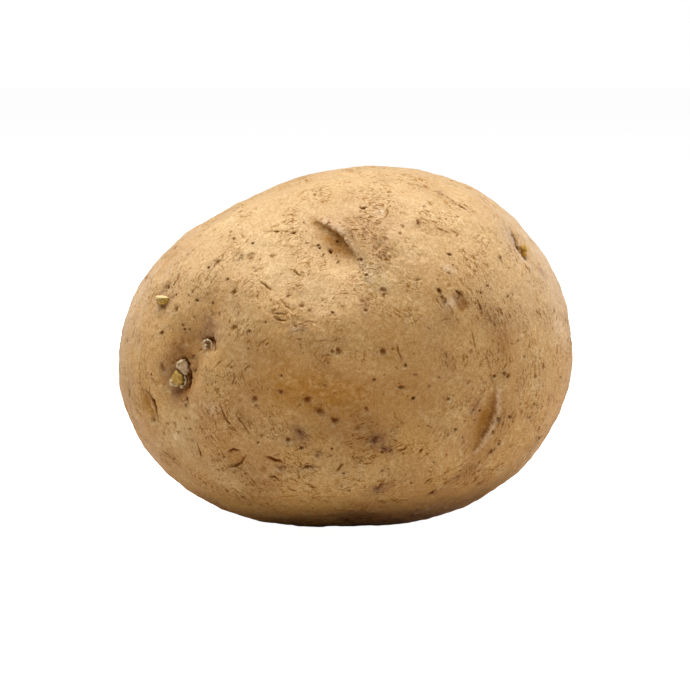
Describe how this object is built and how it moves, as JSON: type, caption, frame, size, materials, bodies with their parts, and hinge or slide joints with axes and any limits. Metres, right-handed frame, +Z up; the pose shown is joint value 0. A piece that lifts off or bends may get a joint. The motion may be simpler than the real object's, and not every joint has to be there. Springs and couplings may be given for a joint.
{
  "type": "potato",
  "caption": "A washed table potato lying on its side: a plump oval tuber with shallow eyes under curved brow ridges, short sprout buds, skin wounds and a stalk scar.",
  "frame": {"origin": "middle of the tuber's box in plan, on the table that it rests on", "axes": "+X along the long way, towards the scar of the stalk; -Y is the side that shows in front; +Z up"},
  "size_m": [0.0952, 0.0714, 0.0746],
  "materials": {
    "skin": "dull, slightly waxy tan potato skin with brown lenticels, scabs and scars; yellow-green sprout buds"
  },
  "bodies": {
    "root": {"potato": "skin"}
  },
  "joints": []
}
